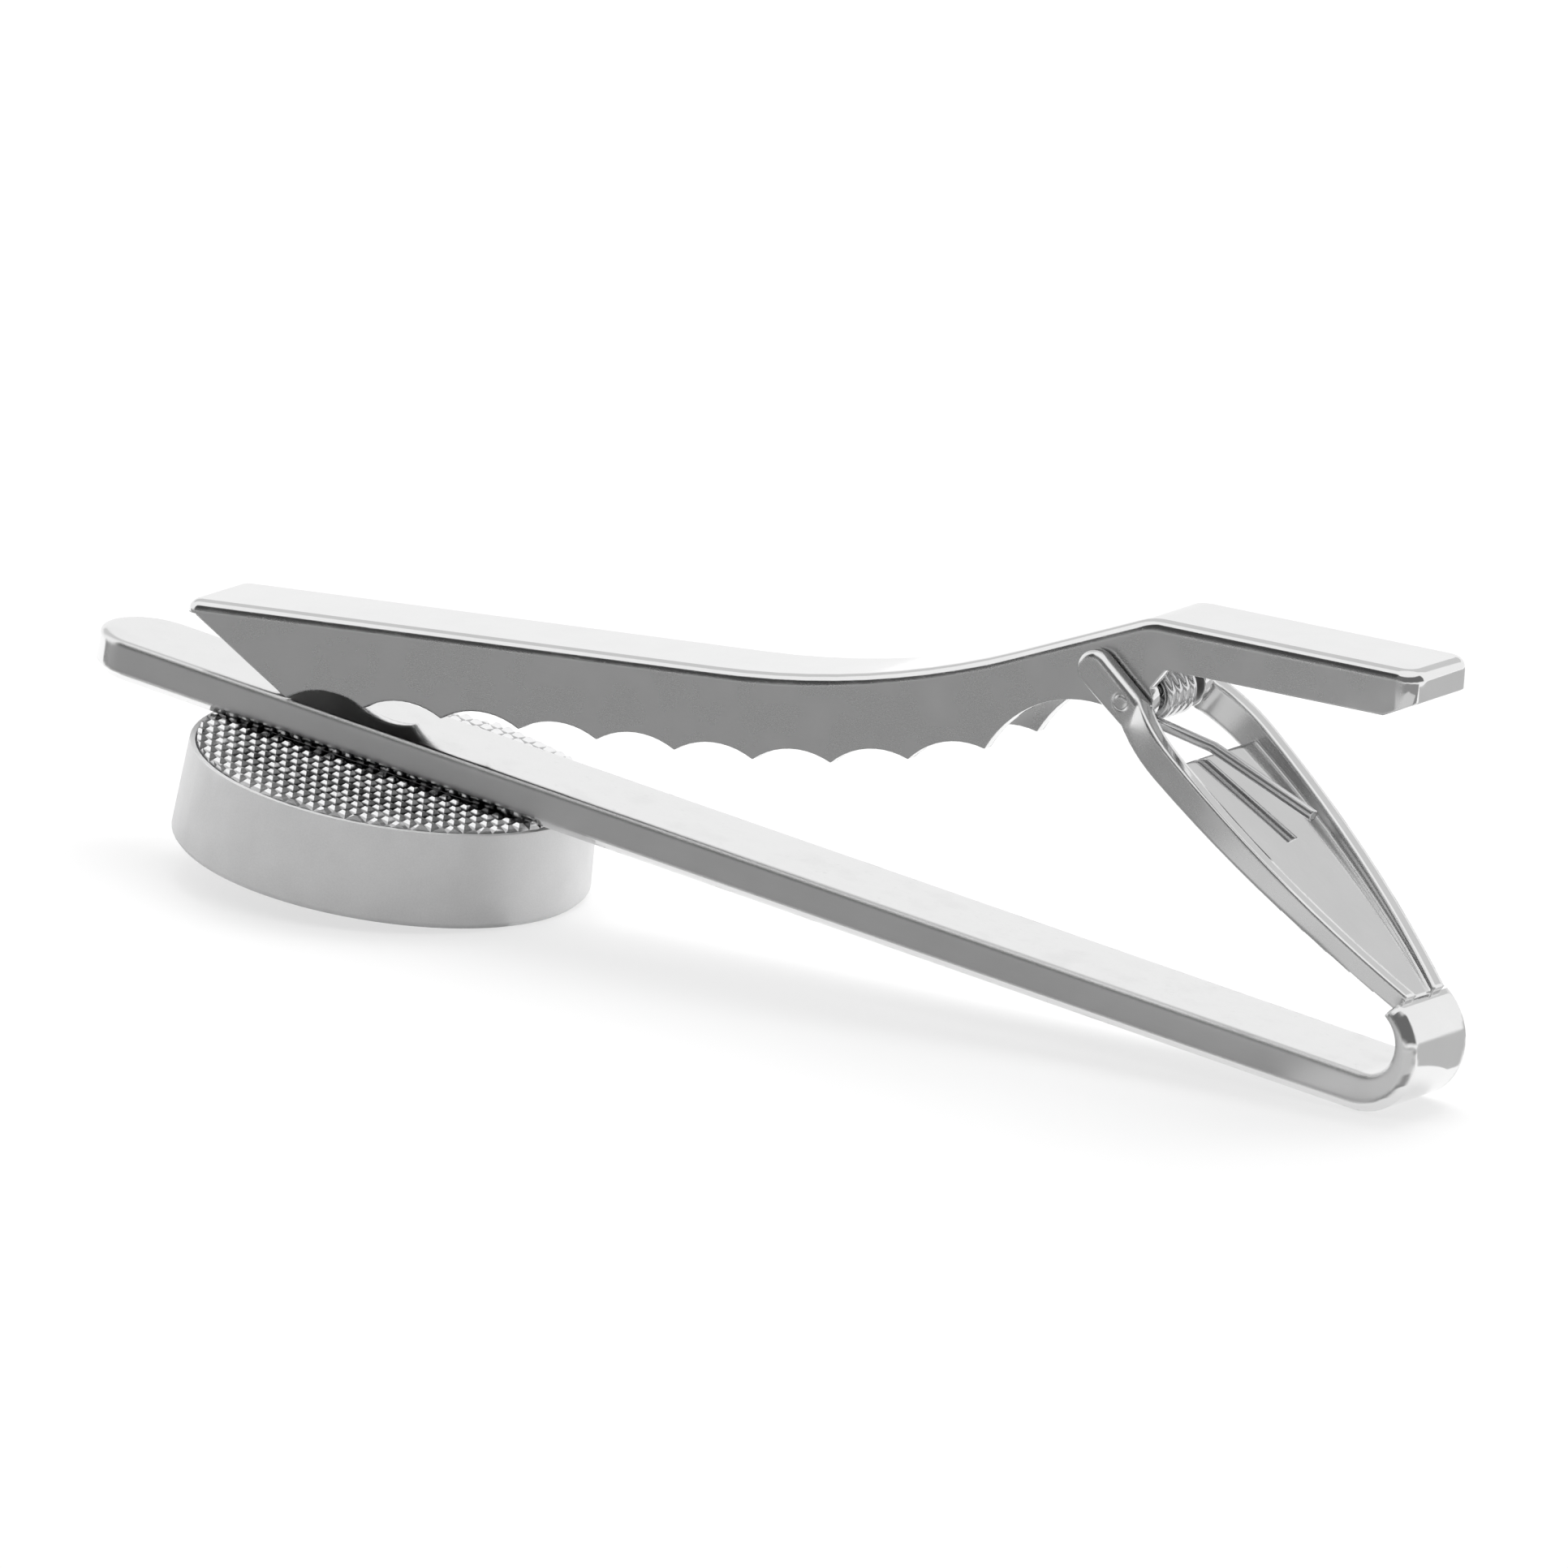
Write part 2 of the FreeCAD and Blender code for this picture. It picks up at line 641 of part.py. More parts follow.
def build_solder_pad():
    pad = doc.addObject("Part::Box", "solder_pad")
    pad.Label = "solder_pad"
    bind(pad, Length="<pad_length>", Width="<pad_width>", Height="<pad_thickness>")
    doc.recompute()
    corner_x = size("drum_centre") - size("pad_length") / 2
    corner_z = -size("bar_thickness") - size("pad_thickness")
    pad.Placement = resting * Placement(Vector(corner_x, -size("pad_width") / 2, corner_z), Rotation())
    return pad


builders = [
    build_front_bar,
    build_hinge_bracket,
    build_jaw_lever,
    build_hinge_pin,
    build_torsion_spring,
    build_badge_drum,
    build_knurled_back,
    build_solder_pad,
]
pieces = [build() for build in builders]
doc.recompute()

for item in doc.Objects:
    if "Invalid" in item.State or "Error" in item.State:
        raise RuntimeError(f"{item.Name} did not build: {item.State}")
for piece in pieces:
    if piece.Shape.isNull() or not piece.Shape.isValid() or len(piece.Shape.Solids) != 1:
        raise RuntimeError(f"{piece.Label} is not one valid solid")

os.makedirs("parts", exist_ok=True)
for piece in pieces:
    piece.Shape.exportStep(os.path.join("parts", piece.Label + ".step"))
pivot_at_rest = resting.multVec(Vector(pivot.x, 0, pivot.y))
print(f"rest tilt {math.degrees(rest_tilt):.4f} deg, pivot {tuple(round(v, 4) for v in pivot_at_rest)}")
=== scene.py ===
import json
import math

import bpy
from mathutils import Matrix, Vector


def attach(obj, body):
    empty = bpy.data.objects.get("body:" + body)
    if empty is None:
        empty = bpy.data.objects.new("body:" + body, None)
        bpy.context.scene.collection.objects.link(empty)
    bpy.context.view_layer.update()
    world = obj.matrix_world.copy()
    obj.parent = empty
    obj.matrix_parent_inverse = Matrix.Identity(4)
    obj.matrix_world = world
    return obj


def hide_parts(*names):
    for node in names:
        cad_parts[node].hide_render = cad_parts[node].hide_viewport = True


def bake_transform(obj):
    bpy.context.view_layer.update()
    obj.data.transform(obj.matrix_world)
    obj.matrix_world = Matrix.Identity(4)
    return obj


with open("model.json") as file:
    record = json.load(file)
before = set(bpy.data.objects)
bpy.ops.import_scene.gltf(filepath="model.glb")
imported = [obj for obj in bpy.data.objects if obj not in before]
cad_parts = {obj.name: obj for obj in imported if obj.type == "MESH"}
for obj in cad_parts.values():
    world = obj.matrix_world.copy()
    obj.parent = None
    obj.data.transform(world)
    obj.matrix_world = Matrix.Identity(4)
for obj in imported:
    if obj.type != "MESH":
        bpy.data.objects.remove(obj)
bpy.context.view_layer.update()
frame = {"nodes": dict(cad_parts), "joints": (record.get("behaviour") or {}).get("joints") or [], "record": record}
mm = 0.001
pivot = Vector(frame["joints"][0]["pos_m"])
drumUp = -Vector(frame["record"]["mounts"][0]["axis"]).normalized()
print("frame: loaded", len(frame["nodes"]), "nodes")


# a socket with operators, so that masks are written as sums
class Shade:
    def __init__(self, tree, socket=None):
        self.tree = tree
        self.socket = socket

    def node(self, kind, settings=None, links=None, out=0):
        made = self.tree.nodes.new(kind)
        for key, value in (settings or {}).items():
            setattr(made, key, value)
        for key, value in (links or {}).items():
            if isinstance(value, Shade):
                self.tree.links.new(value.socket, made.inputs[key])
            else:
                made.inputs[key].default_value = value
        return Shade(self.tree, made.outputs[out])

    def maths(self, operation, *values):
        return self.node("ShaderNodeMath", {"operation": operation}, dict(enumerate(values)))

    def __add__(self, other):
        return self.maths("ADD", self, other)

    def __radd__(self, other):
        return self.maths("ADD", other, self)

    def __sub__(self, other):
        return self.maths("SUBTRACT", self, other)

    def __rsub__(self, other):
        return self.maths("SUBTRACT", other, self)

    def __mul__(self, other):
        return self.maths("MULTIPLY", self, other)

    def __rmul__(self, other):
        return self.maths("MULTIPLY", other, self)

    def __abs__(self):
        return self.maths("ABSOLUTE", self)

    def clamped(self):
        return self.node("ShaderNodeClamp", {}, {"Value": self})

    # 0 below the first value, 1 above the second, smooth between
    def smooth(self, low, high):
        ends = {"Value": self, "From Min": low, "From Max": high, "To Min": 0.0, "To Max": 1.0}
        return self.node("ShaderNodeMapRange", {"interpolation_type": "SMOOTHSTEP"}, ends)

    def tint(self, low, high):
        return self.mix((*low, 1), (*high, 1))

    def mix(self, low, high):
        return self.node("ShaderNodeMix", {"data_type": "RGBA"}, {0: self, 6: low, 7: high}, out=2)

    # one axis of a place or normal
    def part(self, axis):
        return self.node("ShaderNodeSeparateXYZ", {}, {0: self}, out=axis)

    # a vector measured against a fixed one
    def against(self, operation, way):
        return self.node(
            "ShaderNodeVectorMath", {"operation": operation}, {0: self, 1: tuple(way)}, out="Value"
        )

    def place(self, scale=(1, 1, 1), turn=(0, 0, 0)):
        coords = self.node("ShaderNodeTexCoord", out="Object")
        spread = {"Vector": coords, "Scale": scale, "Rotation": turn}
        return self.node("ShaderNodeMapping", {"vector_type": "TEXTURE"}, spread)

    def noise(self, vector, grain, detail):
        return self.node("ShaderNodeTexNoise", {}, {"Vector": vector, "Scale": 1 / grain, "Detail": detail})

    def bump(self, height, strength, depth, **more):
        return self.node(
            "ShaderNodeBump", {}, {"Height": height, "Strength": strength, "Distance": depth, **more}
        )


def newFinish(name):
    finish = bpy.data.materials.new(name)
    finish.use_nodes = True
    tree = finish.node_tree
    tree.nodes.clear()
    end = tree.nodes.new("ShaderNodeOutputMaterial")
    surface = tree.nodes.new("ShaderNodeBsdfPrincipled")
    tree.links.new(surface.outputs[0], end.inputs["Surface"])
    return finish, Shade(tree), surface


# hands the material's end over to another shader
def show(shade, shader):
    end = next(node for node in shade.tree.nodes if node.type == "OUTPUT_MATERIAL")
    shade.tree.links.new(shader.socket, end.inputs["Surface"])


def feed(shade, surface, **sockets):
    for key, value in sockets.items():
        shade.tree.links.new(value.socket, surface.inputs[key.replace("_", " ")])


# bright plate: a faint haze, fine polishing lines one way, tiny pits, duller sides, and an inside that is rougher
# and painted darker as shade
def plateFinish(name, look):
    finish, shade, surface = newFinish(name)
    surface.inputs["Metallic"].default_value = 1.0
    flat = shade.place()
    haze = shade.noise(flat, look["hazeSize"], look["hazeDetail"])
    drawn = shade.place(look["lineStretch"], look["lineTurn"])
    lines = shade.noise(drawn, look["lineSize"], look["lineDetail"])
    pits = shade.noise(flat, look["pitSize"], look["pitDetail"]).smooth(*look["pitEdge"])
    facing = shade.node("ShaderNodeTexCoord", out="Normal")
    eased = shade.node("ShaderNodeBevel", {"samples": look["easedSamples"]}, {"Radius": look["easedEdge"]})
    side = abs(eased.against("DOT_PRODUCT", (0, 1, 0))).smooth(*look["sideTurn"])
    wall = look["insideHalf"]
    within = 1 - abs(flat.part("Y")).smooth(wall - look["insideSoft"], wall)
    below = 1 - facing.part("Z").smooth(*look["insideTurn"])
    # inside the channel, on faces that don't look up, the colour is painted darker as shade, most towards the
    # nose; it is also rougher there
    inside = within * below * (1 - flat.part("X").smooth(*look["insideShadeFade"]))
    bright = (haze * look["hazeShare"] + lines * look["lineShare"]).clamped().tint(look["low"], look["high"])
    hazeRough = haze.smooth(*look["hazeEdge"]) * look["hazeRough"]
    lineRough = lines.smooth(*look["lineEdge"]) * look["lineRough"]
    sideRough = side * (look["sideRough"] + haze * look["sideHaze"])
    relief = lines * look["lineBump"] + haze * look["hazeBump"] - pits * look["pitBump"]
    feed(
        shade, surface,
        Base_Color=inside.mix(bright, haze.tint(look["insideShadeLow"], look["insideShadeHigh"])),
        Roughness=look["rough"] + hazeRough + lineRough + pits * look["pitRough"] + sideRough
        + inside * look["insideRough"],
        Normal=shade.bump(relief, look["bump"], look["depth"], Normal=eased),
    )
    return finish


# satin plate: blasted grain with soft cloudy patches
def satinFinish(name, look):
    finish, shade, surface = newFinish(name)
    surface.inputs["Metallic"].default_value = look["metal"]
    flat = shade.place()
    grain = shade.noise(flat, look["grainSize"], look["grainDetail"])
    cloud = shade.noise(flat, look["cloudSize"], look["cloudDetail"])
    bright = (grain * look["grainShare"] + cloud * look["cloudShare"]).clamped()
    feed(
        shade, surface,
        Base_Color=bright.tint(look["low"], look["high"]),
        Roughness=look["rough"] + grain * look["grainRough"] + cloud * look["cloudRough"],
        Normal=shade.bump(grain, look["bump"], look["depth"]),
    )
    return finish


plateLook = {
    "low": (0.80, 0.80, 0.80), "high": (0.90, 0.90, 0.90), "hazeShare": 0.7, "lineShare": 0.3,
    "hazeSize": 1.6 * mm, "hazeDetail": 3.0, "hazeEdge": (0.45, 0.75), "hazeRough": 0.05, "hazeBump": 0.4,
    "lineSize": 0.05 * mm, "lineDetail": 2.0, "lineStretch": (14, 1, 1), "lineTurn": (0, 0, 0),
    "lineEdge": (0.55, 0.8), "lineRough": 0.06, "lineBump": 0.6,
    "pitSize": 0.16 * mm, "pitDetail": 1.0, "pitEdge": (0.68, 0.8), "pitRough": 0.08, "pitBump": 0.2,
    "rough": 0.045, "sideTurn": (0.86, 0.98), "sideRough": 0.16, "sideHaze": 0.08,
    "bump": 0.05, "depth": 0.004 * mm, "easedEdge": 0.1 * mm, "easedSamples": 8,
    "insideHalf": -1 * mm,  # below 0 there is no inside
    "insideSoft": 0.04 * mm, "insideTurn": (0.2, 0.4), "insideRough": 0.1, "insideShadeFade": (-12 * mm, 4 * mm),
    # colours of the painted shade inside the channel
    "insideShadeLow": (0.26, 0.26, 0.26), "insideShadeHigh": (0.42, 0.42, 0.42),
}
barPlate = plateFinish("barPlate", {**plateLook, "sideRough": 0.26, "easedEdge": 0.36 * mm})
armPlate = plateFinish("armPlate", {
    **plateLook, "lineTurn": (0, math.radians(37), 0), "rough": 0.06, "easedEdge": 0.24 * mm,
})
# only the lever has a channel inside, painted darker as shade
leverPlate = plateFinish("leverPlate", {
    **plateLook, "rough": 0.075, "lineRough": 0.09, "insideHalf": 1.6 * mm,
})
wirePlate = plateFinish("wirePlate", {
    **plateLook, "low": (0.66, 0.66, 0.665), "high": (0.82, 0.82, 0.825), "lineStretch": (1, 1, 1),
    "rough": 0.08, "bump": 0.1,
})
satinLook = {"grainDetail": 2.0, "grainShare": 0.45, "cloudDetail": 3.0, "cloudShare": 0.55}
drumSatin = satinFinish("drumSatin", {
    **satinLook, "metal": 0.3, "low": (0.66, 0.66, 0.662), "high": (0.9, 0.9, 0.902),
    "grainSize": 0.06 * mm, "cloudSize": 1.8 * mm, "rough": 0.36, "grainRough": 0.12, "cloudRough": 0.08,
    "bump": 0.18, "depth": 0.01 * mm,
})
solderSkin = satinFinish("solderSkin", {
    **satinLook, "metal": 0.9, "low": (0.42, 0.42, 0.43), "high": (0.62, 0.62, 0.63),
    "grainSize": 0.18 * mm, "cloudSize": 0.9 * mm, "rough": 0.32, "grainRough": 0.2, "cloudRough": 0.15,
    "bump": 0.4, "depth": 0.03 * mm,
})
print("finishes: plate, satin and solder made")


def pick(*objs):
    bpy.ops.object.select_all(action="DESELECT")
    for obj in objs:
        obj.select_set(True)
    bpy.context.view_layer.objects.active = objs[0]


def editAll():
    bpy.ops.object.mode_set(mode="EDIT")
    bpy.ops.mesh.select_all(action="SELECT")


# choose points in edit mode by a test on their place
def pickPoints(obj, test):
    bpy.ops.mesh.select_all(action="DESELECT")
    bpy.ops.object.mode_set(mode="OBJECT")
    for point in obj.data.vertices:
        point.select = test(point.co)
    bpy.ops.object.mode_set(mode="EDIT")


def addModifier(obj, name, kind, **settings):
    made = obj.modifiers.new(name, kind)
    for key, value in settings.items():
        setattr(made, key, value)
    pick(obj)
    bpy.ops.object.modifier_apply(modifier=name)


def settle(obj, finish, angle):
    obj.data.materials.clear()
    obj.data.materials.append(finish)
    pick(obj)
    bpy.ops.object.transform_apply(location=True, rotation=True, scale=True)
    bpy.ops.object.shade_smooth_by_angle(angle=math.radians(angle))


# round off the sharp edges, but not those of the pivot's holes
def easeEdges(piece, ease):
    bpy.ops.object.mode_set(mode="EDIT")
    bpy.ops.mesh.select_mode(type="EDGE")
    bpy.ops.mesh.select_all(action="DESELECT")
    bpy.ops.mesh.edges_select_sharp(sharpness=math.radians(ease["sharp"]))
    bpy.ops.object.mode_set(mode="OBJECT")
    for edge in piece.data.edges:
        spot = sum((piece.data.vertices[i].co for i in edge.vertices), Vector()) / 2 - pivot
        if math.hypot(spot.x, spot.z) < ease["holeKept"]:
            edge.select = False
    bpy.ops.object.mode_set(mode="EDIT")
    bpy.ops.transform.edge_bevelweight(value=1)
    bpy.ops.mesh.select_mode(type="VERT")
    bpy.ops.object.mode_set(mode="OBJECT")
    addModifier(
        piece, "ease", "BEVEL", width=ease["width"], segments=ease["segments"],
        limit_method="WEIGHT", use_clamp_overlap=False,
    )


# a welded copy of a solid; the bar and the arm have edges too short to bevel, which their plate eases
def easedCopy(node, name, finish, ease, reshape=None):
    piece = bpy.data.objects.new(name, frame["nodes"][node].data.copy())
    bpy.context.scene.collection.objects.link(piece)
    pick(piece)
    if piece.data.has_custom_normals:
        bpy.ops.mesh.customdata_custom_splitnormals_clear()
    editAll()
    bpy.ops.mesh.remove_doubles(threshold=ease["weld"])
    bpy.ops.mesh.dissolve_limited(angle_limit=math.radians(ease["flat"]))
    bpy.ops.object.mode_set(mode="OBJECT")
    if reshape:
        for point in piece.data.vertices:
            point.co = reshape(point.co)
    if ease["width"]:
        easeEdges(piece, ease)
    settle(piece, finish, ease["smooth"])
    addModifier(piece, "flats", "WEIGHTED_NORMAL", keep_sharp=True)
    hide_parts(node)
    return piece


noseSet = {
    "tip": Vector((-24.6114, 0, 9.4979)) * mm, "way": Vector((0.99738, 0, 0.07234)),
    "halfWidth": 2.0 * mm, "solidRadius": 1.6 * mm, "radius": 0.6 * mm, "inner": 1.09 * mm,
    "slack": -0.005 * mm,
}


# the nose's two corners drawn out, so that the side walls start right behind the tip
def tightNose(point):
    old, new = noseSet["solidRadius"], noseSet["radius"]
    along = (point - noseSet["tip"]).dot(noseSet["way"])
    back, out = old - along, abs(point.y) - (noseSet["halfWidth"] - old)
    reach = math.hypot(back, out)
    if min(back, out) < noseSet["slack"] or reach < noseSet["inner"]:
        return point
    turn = math.atan2(out, back)
    ring = reach - (old - new)
    newAlong = new - ring * math.cos(turn)
    newOut = noseSet["halfWidth"] - new + ring * math.sin(turn)
    moved = point + noseSet["way"] * (newAlong - along)
    return Vector((moved.x, math.copysign(newOut, point.y), moved.z))


easeSet = {
    "weld": 0.0005 * mm, "flat": 0.5, "sharp": 32, "smooth": 40,
    "width": 0.05 * mm, "segments": 2, "holeKept": 0.5 * mm,
}
bar = easedCopy("front_bar", "bar_plated", barPlate, {**easeSet, "width": 0})
arm = easedCopy("hinge_bracket", "arm_plated", armPlate, {**easeSet, "width": 0})
lever = easedCopy("jaw_lever", "lever_plated", leverPlate, {**easeSet, "width": 0.03 * mm}, tightNose)
pin = easedCopy("hinge_pin", "pin_plated", armPlate, easeSet)
drum = easedCopy("badge_drum", "drum_satin", drumSatin, easeSet)
for piece in (bar, arm, pin, drum):
    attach(piece, "clip_base")
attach(lever, "lever")
for place in frame["nodes"]["solder_pad"].material_slots:
    place.material = solderSkin
print("plated pieces:", ", ".join(piece.name for piece in (bar, arm, lever, pin, drum)))


knurlSet = {
    "top": Vector((-16.2666, 0, 4.5947)) * mm, "radius": 7.29 * mm, "sides": 144, "depth": 0.43 * mm,
    "pitch": 0.56 * mm, "height": 0.24 * mm, "blunt": 0.2 * mm, "turn": 77, "margin": 1.1, "smooth": 12,
}
knurlLook = {
    # the dark colour is painted shade in the valleys, the bright one a painted highlight on the tips
    "low": (0.02, 0.02, 0.022), "high": (0.95, 0.95, 0.955),
    "paintedGlintFrom": 0.6 * knurlSet["height"], "paintedGlintTo": 0.3 * knurlSet["height"], "paintedGlintShare": 0.95, "litRough": 0.12,
    "dustSize": 0.3 * mm, "dustDetail": 3.0, "dustShare": 0.3, "dustRough": 0.08, "shadeOffset": 0.12,
    "worn": (5.4 * mm, 7.2 * mm), "wornShare": 0.55, "rough": 0.2, "bump": 0.1, "depth": 0.006 * mm,
}


# painted highlights on the pyramid tips over painted shade in the valleys, rubbed bright towards the rim
def knurlFinish(look):
    finish, shade, surface = newFinish("knurlPlate")
    surface.inputs["Metallic"].default_value = 1.0
    flat = shade.place()
    peak = knurlSet["top"].dot(drumUp)
    # the colour follows height: a painted highlight on the tips, painted shade down the slopes and in the valleys
    lit = flat.against("DOT_PRODUCT", drumUp).smooth(peak - look["paintedGlintFrom"], peak - look["paintedGlintTo"])
    dust = shade.noise(flat, look["dustSize"], look["dustDetail"])
    worn = flat.against("DISTANCE", knurlSet["top"]).smooth(*look["worn"])
    # the offset lowers the whole knurl, so the painted shade in the valleys goes to black
    bright = lit * look["paintedGlintShare"] + dust * look["dustShare"] - look["shadeOffset"] + worn * look["wornShare"]
    feed(
        shade, surface,
        Base_Color=bright.clamped().tint(look["low"], look["high"]),
        Roughness=look["rough"] - lit * look["litRough"] + dust * look["dustRough"],
        Normal=shade.bump(dust, look["bump"], look["depth"]),
    )
    return finish


# the whole field of little pyramids, cut round
def knurledDisc(cut):
    rows = 2 * math.ceil(cut["radius"] * cut["margin"] / cut["pitch"])
    bpy.ops.object.select_all(action="DESELECT")
    bpy.ops.mesh.primitive_grid_add(x_subdivisions=rows, y_subdivisions=rows, size=rows * cut["pitch"])
    field = bpy.context.object
    field.name = "knurl_disc"
    editAll()
    bpy.ops.mesh.inset(thickness=cut["blunt"], use_individual=True)
    bpy.ops.transform.translate(value=(0, 0, cut["height"]))
    bpy.ops.mesh.select_all(action="SELECT")
    bpy.ops.mesh.region_to_loop()
    bpy.ops.mesh.extrude_region_move(TRANSFORM_OT_translate={"value": (0, 0, -cut["depth"])})
    bpy.ops.mesh.edge_face_add()
    bpy.ops.mesh.select_all(action="SELECT")
    bpy.ops.mesh.normals_make_consistent(inside=False)
    bpy.ops.object.mode_set(mode="OBJECT")
    field.rotation_euler[2] = math.radians(cut["turn"])
    pick(field)
    bpy.ops.object.transform_apply(rotation=True)
    bpy.ops.object.select_all(action="DESELECT")
    low, high = cut["height"] - cut["depth"], 2 * cut["height"]
    bpy.ops.mesh.primitive_cylinder_add(
        vertices=cut["sides"], radius=cut["radius"], depth=high - low, location=(0, 0, (high + low) / 2)
    )
    cutter = bpy.context.object
    addModifier(field, "round", "BOOLEAN", operation="INTERSECT", solver="EXACT", object=cutter)
    bpy.data.objects.remove(cutter)
    field.matrix_world = (
        Matrix.Translation(cut["top"] - drumUp * cut["height"])
        @ Vector((0, 0, 1)).rotation_difference(drumUp).to_matrix().to_4x4()
    )
    settle(field, knurlFinish(knurlLook), cut["smooth"])
    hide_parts("knurled_back")
    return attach(field, "clip_base")


knurl = knurledDisc(knurlSet)
print("knurl:", len(knurl.data.polygons), "faces")


springSet = {
    "wire": 0.44 * mm, "radius": 0.85 * mm, "turns": 4, "pitch": 0.47 * mm, "sides": 16, "stepsPerTurn": 36,
    "tailAngle": 102.6, "webAngle": 249.8, "tailLeg": 6.7 * mm,
    "webBend": Vector((18.92, -0.25, 11.74)) * mm, "webEnd": Vector((22.31, 1.35, 9.55)) * mm,
    "smooth": 50, "slice": 0.05, "reach": 0.55,
    "apart": Vector((0, 1, 0.7)), "stillTo": -0.67 * mm, "turnsFrom": 1.73 * mm,
}


def woundSpring(coil):
    wire, radius = coil["wire"], coil["radius"]
    swing = math.radians(coil["webAngle"] - coil["tailAngle"]) + 2 * math.pi * coil["turns"]
    length = coil["pitch"] * swing / (2 * math.pi)
    start = math.radians(coil["tailAngle"])
    bpy.ops.object.select_all(action="DESELECT")
    bpy.ops.mesh.primitive_circle_add(
        vertices=coil["sides"], radius=wire / 2, location=(radius, 0, -length / 2),
        rotation=(math.pi / 2, 0, 0),
    )
    spring = bpy.context.object
    spring.name = "spring_wound"
    bpy.ops.object.transform_apply()
    spring.rotation_euler[2] = start
    bpy.ops.object.transform_apply()
    steps = round(coil["stepsPerTurn"] * swing / (2 * math.pi))
    addModifier(
        spring, "coil", "SCREW", axis="Z", angle=swing, screw_offset=length, steps=steps,
        render_steps=steps, use_merge_vertices=False,
    )
    lay = Matrix.Translation(pivot) @ Matrix.Rotation(math.pi / 2, 4, "X")
    spring.matrix_world = lay
    pick(spring)
    bpy.ops.object.transform_apply()

    # choose the open ring at one end of the coil
    def ring(angle, height):
        spoke = Vector((math.cos(angle), math.sin(angle), 0))
        way = lay.to_3x3() @ Vector((-spoke.y, spoke.x, 0))
        middle = lay @ (spoke * radius + Vector((0, 0, height)))
        thin, near = wire * coil["slice"], wire * coil["reach"]
        pickPoints(spring, lambda p: abs((p - middle).dot(way)) < thin and (p - middle).length < near)
        return middle, way

    bpy.ops.object.mode_set(mode="EDIT")
    middle, way = ring(start, -length / 2)
    bpy.ops.mesh.extrude_region_move(TRANSFORM_OT_translate={"value": -way * coil["tailLeg"]})
    bpy.ops.mesh.edge_face_add()
    middle, way = ring(start + swing, length / 2)
    for spot in (coil["webBend"], coil["webEnd"]):
        bpy.ops.mesh.extrude_region_move(TRANSFORM_OT_translate={"value": spot - middle})
        middle = spot
    bpy.ops.mesh.edge_face_add()
    bpy.ops.mesh.select_all(action="SELECT")
    bpy.ops.mesh.normals_make_consistent(inside=False)
    bpy.ops.object.mode_set(mode="OBJECT")
    settle(spring, wirePlate, coil["smooth"])
    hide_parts("torsion_spring")
    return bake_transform(spring)


spring = woundSpring(springSet)
print("spring:", len(spring.data.polygons), "faces")


cameraSet = {
    "aim": Vector((0.54, 0, 6.88)) * mm, "azimuth": 32.44, "elevation": 14.34, "roll": 3.38,
    "distance": 1.65, "frameWidth": 56.82 * mm, "sensor": 36.0, "clip": (0.01, 20),
}
azimuth, elevation, roll = (math.radians(cameraSet[key]) for key in ("azimuth", "elevation", "roll"))
toward = Vector((
    math.sin(azimuth) * math.cos(elevation), -math.cos(azimuth) * math.cos(elevation), math.sin(elevation)
))
level = Vector((math.cos(azimuth), math.sin(azimuth), 0))
right = level * math.cos(roll) + toward.cross(level) * math.sin(roll)
lens = bpy.data.cameras.new("photoLens")
lens.sensor_width = cameraSet["sensor"]
lens.lens = cameraSet["sensor"] * cameraSet["distance"] / cameraSet["frameWidth"]
lens.clip_start, lens.clip_end = cameraSet["clip"]
camera = bpy.data.objects.new("photoCamera", lens)
bpy.context.scene.collection.objects.link(camera)
turned = Matrix((right, toward.cross(right), toward)).transposed().to_4x4()
camera.matrix_world = Matrix.Translation(cameraSet["aim"] + toward * cameraSet["distance"]) @ turned
bpy.context.scene.camera = camera


stageSet = {
    "floorSize": 6.0, "floorColor": (0.93, 0.93, 0.93), "floorRough": 0.9, "whiteShare": 0.66, "domeTone": 0.97,
    "keyPlace": Vector((-0.12, 0.30, 0.50)), "keySize": 0.45, "keyPower": 2.7,
    "darkTurn": -75, "cardSides": 96,
}


def cameraOrMirror(shade):
    rays = shade.node("ShaderNodeLightPath", out="Is Camera Ray")
    mirror = Shade(shade.tree, rays.socket.node.outputs["Is Glossy Ray"])
    glass = Shade(shade.tree, rays.socket.node.outputs["Is Transmission Ray"])
    return (rays + mirror + glass).clamped()


def buildFloor(stage):
    bpy.ops.object.select_all(action="DESELECT")
    bpy.ops.mesh.primitive_plane_add(size=stage["floorSize"])
    floor = bpy.context.object
    floor.name = "floor"
    finish, shade, surface = newFinish("floorWhite")
    surface.inputs["Base Color"].default_value = (*stage["floorColor"], 1)
    surface.inputs["Roughness"].default_value = stage["floorRough"]
    surface.inputs["Specular IOR Level"].default_value = 0.0
    white = shade.node("ShaderNodeEmission", {}, {"Color": (1, 1, 1, 1), "Strength": 1.0})
    lit = Shade(shade.tree, surface.outputs[0])
    shown = shade.node(
        "ShaderNodeMixShader", {}, {0: cameraOrMirror(shade) * stage["whiteShare"], 1: lit, 2: white}
    )
    show(shade, shown)
    floor.data.materials.append(finish)


def buildDome(stage):
    world = bpy.data.worlds.new("studio")
    bpy.context.scene.world = world
    world.use_nodes = True
    tree = world.node_tree
    tree.nodes.clear()
    end = tree.nodes.new("ShaderNodeOutputWorld")
    tone = stage["domeTone"]
    sky = Shade(tree).node("ShaderNodeBackground", {}, {"Color": (tone, tone, tone, 1), "Strength": 1.0})
    tree.links.new(sky.socket, end.inputs["Surface"])


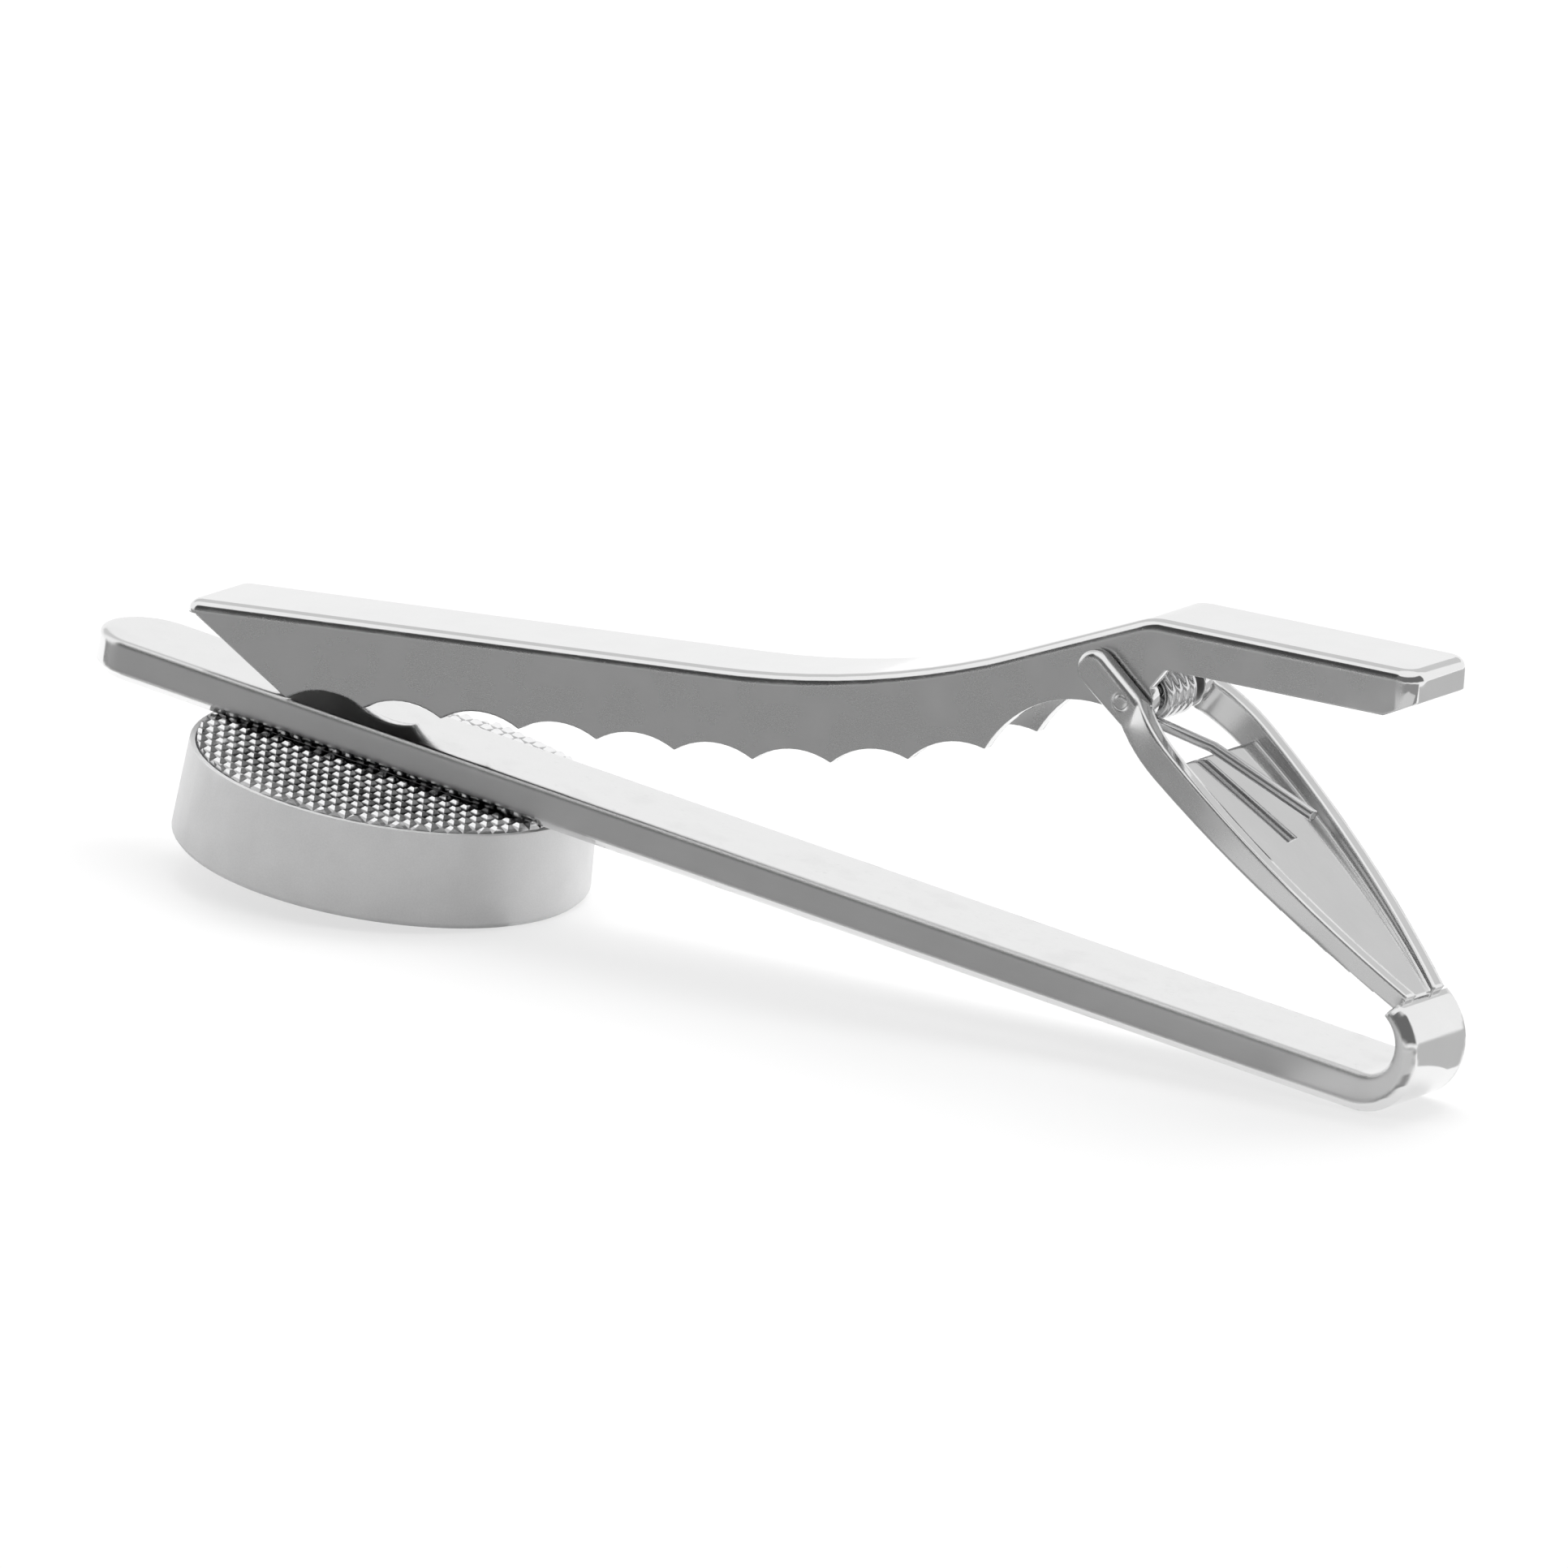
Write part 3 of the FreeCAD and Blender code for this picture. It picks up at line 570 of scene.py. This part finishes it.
def buildKey(stage):
    lamp = bpy.data.lights.new("softKey", "AREA")
    lamp.size = stage["keySize"]
    lamp.energy = stage["keyPower"]
    key = bpy.data.objects.new("softKey", lamp)
    bpy.context.scene.collection.objects.link(key)
    way = (stage["keyPlace"] - cameraSet["aim"]).normalized()
    key.visible_glossy = False
    turned = way.to_track_quat("Z", "Y").to_matrix().to_4x4()
    key.matrix_world = Matrix.Translation(stage["keyPlace"]) @ turned


cameraSide = Vector((math.sin(azimuth), -math.cos(azimuth), 0))
leftFront = Matrix.Rotation(math.radians(stageSet["darkTurn"]), 3, "Z") @ cameraSide
flatCards = {  # corners in mm
    "tableCard": {
        "tone": 0.29, "corners": [(-260, -300, 9), (260, -300, 9), (-260, -2.3, 0.02), (260, -2.3, 0.02)],
    },
    "armCard": {"tone": 0.66, "corners": [(12, -45, 1.6), (70, -45, 1.6), (12, -10.5, 0.5), (70, -10.5, 0.5)]},
    "hookCard": {"tone": 0.6, "corners": [(23, -14, 0.9), (45, -14, 0.9), (23, -3, 0.15), (45, -3, 0.15)]},
    "tailCard": {"tone": 0.55, "corners": [(29.5, 3, 0.05), (120, 3, 0.05), (29.5, 160, 3), (120, 160, 3)]},
}
roundCards = {  # angles of height and half width, in degrees
    "roomCard": {
        "tone": 0.16, "blocksLight": True,
        "way": cameraSide, "radius": 0.5, "low": 6, "high": 48, "spread": 84,
    },
    "darkCard": {
        "tone": 0.06, "blocksLight": False,
        "way": leftFront, "radius": 0.45, "low": 3, "high": 52, "spread": 16,
    },
    "backCard": {
        "tone": 0.66, "blocksLight": False,
        "way": -cameraSide, "radius": 0.6, "low": 22, "high": 60, "spread": 50,
    },
}


# studio cards: what the polished faces see, out of the camera's own sight
def hangCard(card, tone, blocksLight):
    finish, shade, surface = newFinish(card.name)
    show(shade, shade.node("ShaderNodeEmission", {}, {"Color": (tone, tone, tone, 1), "Strength": 1.0}))
    shade.tree.nodes.remove(surface)
    card.data.materials.append(finish)
    card.visible_camera = False
    card.visible_diffuse = blocksLight
    card.visible_shadow = blocksLight


def flatCard(name, look):
    bpy.ops.object.select_all(action="DESELECT")
    bpy.ops.mesh.primitive_plane_add(size=1)
    card = bpy.context.object
    card.name = name
    for point, corner in zip(card.data.vertices, look["corners"]):
        point.co = Vector(corner) * mm
    hangCard(card, look["tone"], False)


# part of an upright tube round the clip
def roundCard(name, look):
    low, high = (look["radius"] * math.tan(math.radians(look[key])) for key in ("low", "high"))
    bpy.ops.object.select_all(action="DESELECT")
    bpy.ops.mesh.primitive_cylinder_add(
        vertices=stageSet["cardSides"], radius=look["radius"], depth=high - low, end_fill_type="NOTHING",
        location=(0, 0, (high + low) / 2),
    )
    tube = bpy.context.object
    tube.name = name
    bpy.ops.object.transform_apply(location=True)
    bpy.ops.object.mode_set(mode="EDIT")
    edge = look["radius"] * math.cos(math.radians(look["spread"]))
    pickPoints(tube, lambda p: p.dot(look["way"]) < edge)
    bpy.ops.mesh.delete(type="VERT")
    bpy.ops.object.mode_set(mode="OBJECT")
    hangCard(tube, look["tone"], look["blocksLight"])


buildFloor(stageSet)
buildDome(stageSet)
buildKey(stageSet)
for name, look in flatCards.items():
    flatCard(name, look)
for name, look in roundCards.items():
    roundCard(name, look)
bpy.context.scene.view_settings.view_transform = "Standard"
print("stage: floor, dome, key and cards set")
